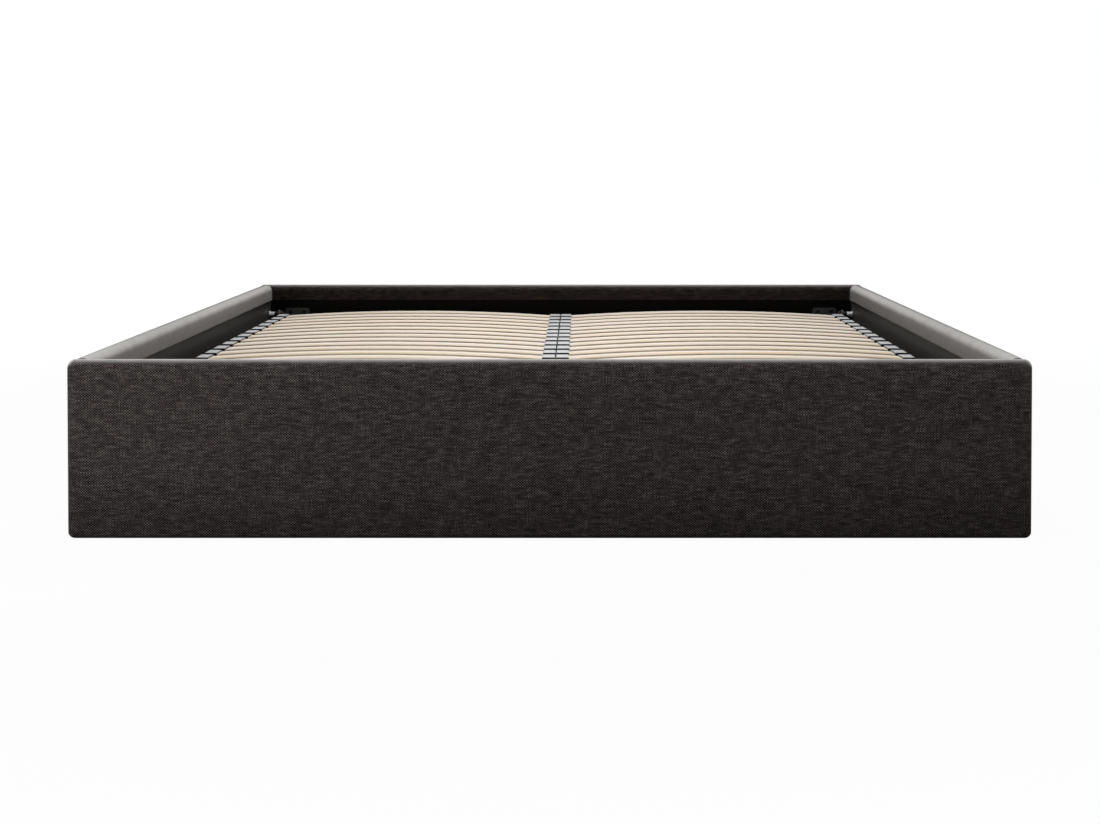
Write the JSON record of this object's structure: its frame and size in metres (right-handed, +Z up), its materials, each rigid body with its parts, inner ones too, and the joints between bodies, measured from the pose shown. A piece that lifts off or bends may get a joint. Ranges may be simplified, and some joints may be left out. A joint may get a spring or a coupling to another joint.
{
  "type": "storage bed base",
  "caption": "Low fabric-covered storage bed base with a deep mattress well; a platform of bowed wooden slats swings up at the foot on gas struts over a floored box.",
  "frame": {"origin": "on the floor under the middle of the box", "axes": "+X to the right seen from the foot, +Y from the foot to the head, +Z up"},
  "size_m": [1.68, 2.08, 0.315],
  "materials": {
    "charcoal_fabric": "matte",
    "grey_board": "matte",
    "pine_batten": "matte",
    "hardboard": "matte",
    "birch_slat": "satin",
    "black_plastic": "satin",
    "black_steel": "satin",
    "zinc": "satin",
    "strut_paint": "gloss",
    "strut_rod": "polished",
    "rubber": "matte"
  },
  "bodies": {
    "box": {"head_cover": "charcoal_fabric", "foot_cover": "charcoal_fabric", "right_cover": "charcoal_fabric", "left_cover": "charcoal_fabric", "head_board": "grey_board", "foot_board": "grey_board", "right_board": "grey_board", "left_board": "grey_board", "right_floor_ledge": "pine_batten", "left_floor_ledge": "pine_batten", "head_floor_ledge": "pine_batten", "foot_floor_ledge": "pine_batten", "floor_beam": "pine_batten", "floor_cross_battens": "pine_batten", "platform_rest": "pine_batten", "head_right_floor_panel": "hardboard", "head_left_floor_panel": "hardboard", "foot_right_floor_panel": "hardboard", "foot_left_floor_panel": "hardboard", "right_lift_plate": "black_steel", "left_lift_plate": "black_steel", "right_fixing_plate": "black_steel", "left_fixing_plate": "black_steel", "corner_brackets": "zinc", "corner_bolts": "zinc", "fixing_plate_screws": "zinc", "lift_plate_screws": "zinc", "right_pivot_pin": "zinc", "left_pivot_pin": "zinc", "pivot_lock_nuts": "zinc", "strut_base_studs": "zinc", "glides": "black_plastic", "rest_pads": "rubber"},
    "platform": {"right_side_tube": "black_steel", "left_side_tube": "black_steel", "head_tube": "black_steel", "foot_tube": "black_steel", "centre_tube": "black_steel", "right_cross_tubes": "black_steel", "left_cross_tubes": "black_steel", "tube_end_caps": "black_plastic", "right_slats": "birch_slat", "left_slats": "birch_slat", "right_outer_holders": "black_plastic", "right_inner_holders": "black_plastic", "left_outer_holders": "black_plastic", "left_inner_holders": "black_plastic", "right_lift_arm": "black_steel", "left_lift_arm": "black_steel", "strut_platform_studs": "zinc"},
    "left_cylinder": {"left_strut_cylinder": "strut_paint", "left_strut_seal": "rubber"},
    "left_rod": {"left_strut_rod": "strut_rod", "left_strut_rod_eye": "zinc"},
    "right_cylinder": {"right_strut_cylinder": "strut_paint", "right_strut_seal": "rubber"},
    "right_rod": {"right_strut_rod": "strut_rod", "right_strut_rod_eye": "zinc"}
  },
  "joints": [
    {"name": "platform_lift", "type": "hinge", "parent": "box", "child": "platform", "pos_m": [0, 0.96, 0.238], "axis": [-1, 0, 0], "range_deg": [0, 45]},
    {"name": "left_strut_swing", "type": "hinge", "parent": "box", "child": "left_cylinder", "pos_m": [-0.7885, 0.924, 0.058], "axis": [-1, 0, 0], "range_deg": [0, 22.5]},
    {"name": "left_strut_stroke", "type": "slide", "parent": "left_cylinder", "child": "left_rod", "axis": [0, -0.7091, 0.7051], "range_m": [0, 0.1017]},
    {"name": "right_strut_swing", "type": "hinge", "parent": "box", "child": "right_cylinder", "pos_m": [0.7885, 0.924, 0.058], "axis": [-1, 0, 0], "range_deg": [0, 22.5]},
    {"name": "right_strut_stroke", "type": "slide", "parent": "right_cylinder", "child": "right_rod", "axis": [0, -0.7091, 0.7051], "range_m": [0, 0.1017]}
  ],
  "couplings": [
    {"joint": "left_strut_swing", "follows": "platform_lift", "ratio": 0.5},
    {"joint": "left_strut_stroke", "follows": "platform_lift", "m_per_rad": 0.12946},
    {"joint": "right_strut_swing", "follows": "platform_lift", "ratio": 0.5},
    {"joint": "right_strut_stroke", "follows": "platform_lift", "m_per_rad": 0.12946}
  ]
}
